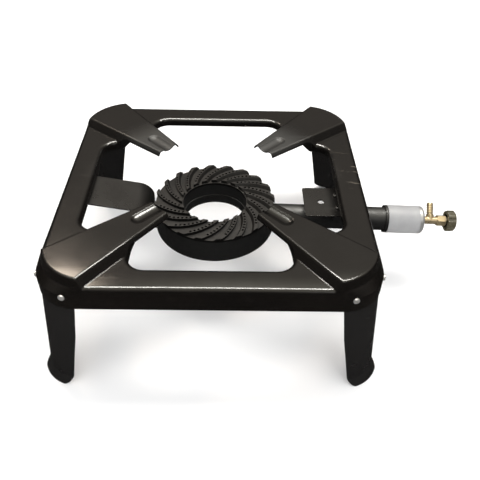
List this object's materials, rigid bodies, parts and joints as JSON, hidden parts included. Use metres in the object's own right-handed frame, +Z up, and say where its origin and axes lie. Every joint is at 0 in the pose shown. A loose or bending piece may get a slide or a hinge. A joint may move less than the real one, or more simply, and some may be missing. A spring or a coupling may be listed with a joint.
{
  "type": "gas boiling ring",
  "caption": "Square enamelled stock pot stove on four sheet legs: cast ring burner under raised pan arms, fed by a mixing tube with air sleeve, valve, knob and hose tail.",
  "frame": {"origin": "on the floor under the centre of the bounding box", "axes": "+X towards the knob along the mixing tube, +Z up, +Y to the back"},
  "size_m": [0.5564, 0.4276, 0.171],
  "materials": {
    "black_enamel": "glossy vitreous enamel, dark brown-black",
    "black_enamel_legs": "glossy black enamel",
    "plated_steel": "bright zinc plate",
    "burner_iron": "sand-cast, dark",
    "crown_iron": "sand-cast, machined tops, warm dark grey",
    "black_sheet": "black enamel, satin",
    "sleeve_aluminium": "satin silver grey",
    "valve_brass": "turned, slightly dulled",
    "packing": "white sealing ring",
    "knob_plastic": "dark olive moulding"
  },
  "bodies": {
    "stove": {"frame_pressing": "black_enamel", "leg_front_left": "black_enamel_legs", "leg_front_right": "black_enamel_legs", "leg_back_left": "black_enamel_legs", "leg_back_right": "black_enamel_legs", "leg_screws": "plated_steel", "leg_nuts": "plated_steel", "burner_casting": "burner_iron", "burner_crown": "crown_iron", "crown_screws": "plated_steel", "left_strap": "black_sheet", "right_bracket": "black_sheet", "ring_washer": "plated_steel", "ring_bolt": "plated_steel", "left_strap_screws": "plated_steel", "left_strap_nuts": "plated_steel", "right_bracket_screws": "plated_steel", "right_bracket_nuts": "plated_steel", "tube_screws": "plated_steel", "lock_nut": "plated_steel", "injector": "valve_brass", "valve_body": "valve_brass", "hose_tail": "valve_brass", "gland_nut": "valve_brass", "gland_packing": "packing"},
    "needle": {"needle": "valve_brass"},
    "knob": {"spindle": "valve_brass", "knob": "knob_plastic", "knob_screw": "plated_steel"},
    "air_sleeve": {"air_sleeve": "sleeve_aluminium"}
  },
  "joints": [
    {"name": "needle_lift", "type": "slide", "parent": "stove", "child": "needle", "axis": [0.9997, 0, -0.0262], "range_m": [0, 0.0015]},
    {"name": "knob_turn", "type": "hinge", "parent": "needle", "child": "knob", "pos_m": [0.27788, 0, 0.09804], "axis": [0.9997, 0, -0.0262], "range_deg": [0, 540]},
    {"name": "air_sleeve_turn", "type": "hinge", "parent": "stove", "child": "air_sleeve", "pos_m": [0.23089, 0, 0.09927], "axis": [0.9997, 0, -0.0262], "range_deg": [0, 45]}
  ],
  "couplings": [
    {"joint": "knob_turn", "follows": "needle_lift", "rad_per_m": 6283.2}
  ]
}
